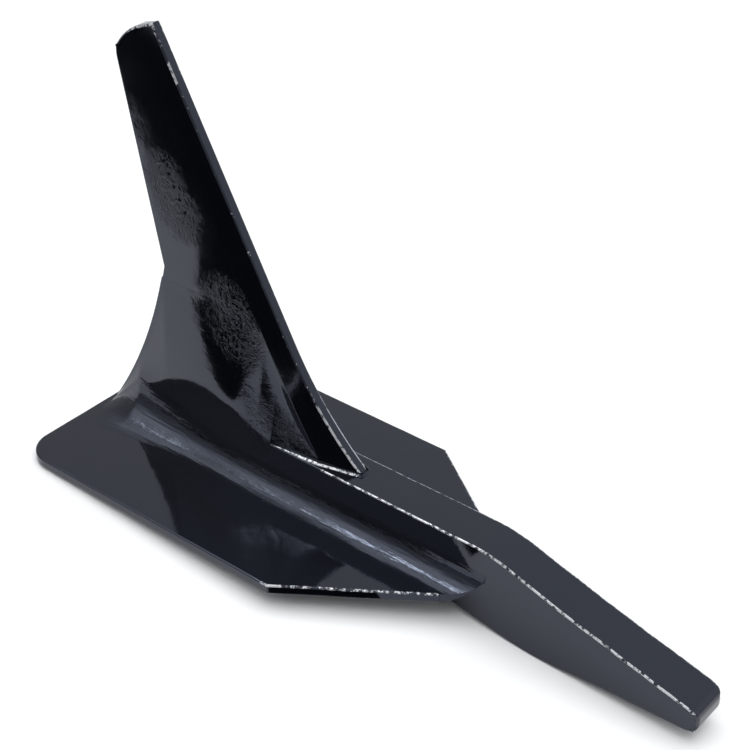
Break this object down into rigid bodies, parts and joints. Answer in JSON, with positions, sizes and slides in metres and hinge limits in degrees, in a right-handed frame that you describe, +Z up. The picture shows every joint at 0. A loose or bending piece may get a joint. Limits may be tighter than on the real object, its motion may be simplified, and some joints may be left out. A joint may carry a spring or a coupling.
{
  "type": "winged tillage point",
  "caption": "Winged ground-engaging tooth: long chisel nose on a keel bar, flat swept wings on both sides and a raked shin blade, for the foot of a ripper or cultivator leg.",
  "frame": {"origin": "centre of the footprint on the floor that the part rests on, with its heel and the wings' rear edges touching the floor", "axes": "+X forward to the tip of the nose, +Y to the part's left, +Z up"},
  "size_m": [0.4934, 0.185, 0.3122],
  "materials": {
    "bar_enamel": "gloss black enamel over forged steel, worn bright along the edges",
    "blade_enamel": "gloss black enamel over steel with a rough cast skin in places",
    "wing_enamel": "gloss black enamel over smooth plate, chipped at the corners",
    "blend_enamel": "gloss black enamel over smooth blended root with slight runs"
  },
  "bodies": {
    "root": {"point_bar": "bar_enamel", "shin_blade": "blade_enamel", "right_wing": "wing_enamel", "left_wing": "wing_enamel", "right_cheek": "blend_enamel", "left_cheek": "blend_enamel", "right_toe_gusset": "blend_enamel", "left_toe_gusset": "blend_enamel", "right_root_fillet": "blend_enamel", "left_root_fillet": "blend_enamel", "casting_tally": "blade_enamel"}
  },
  "joints": []
}
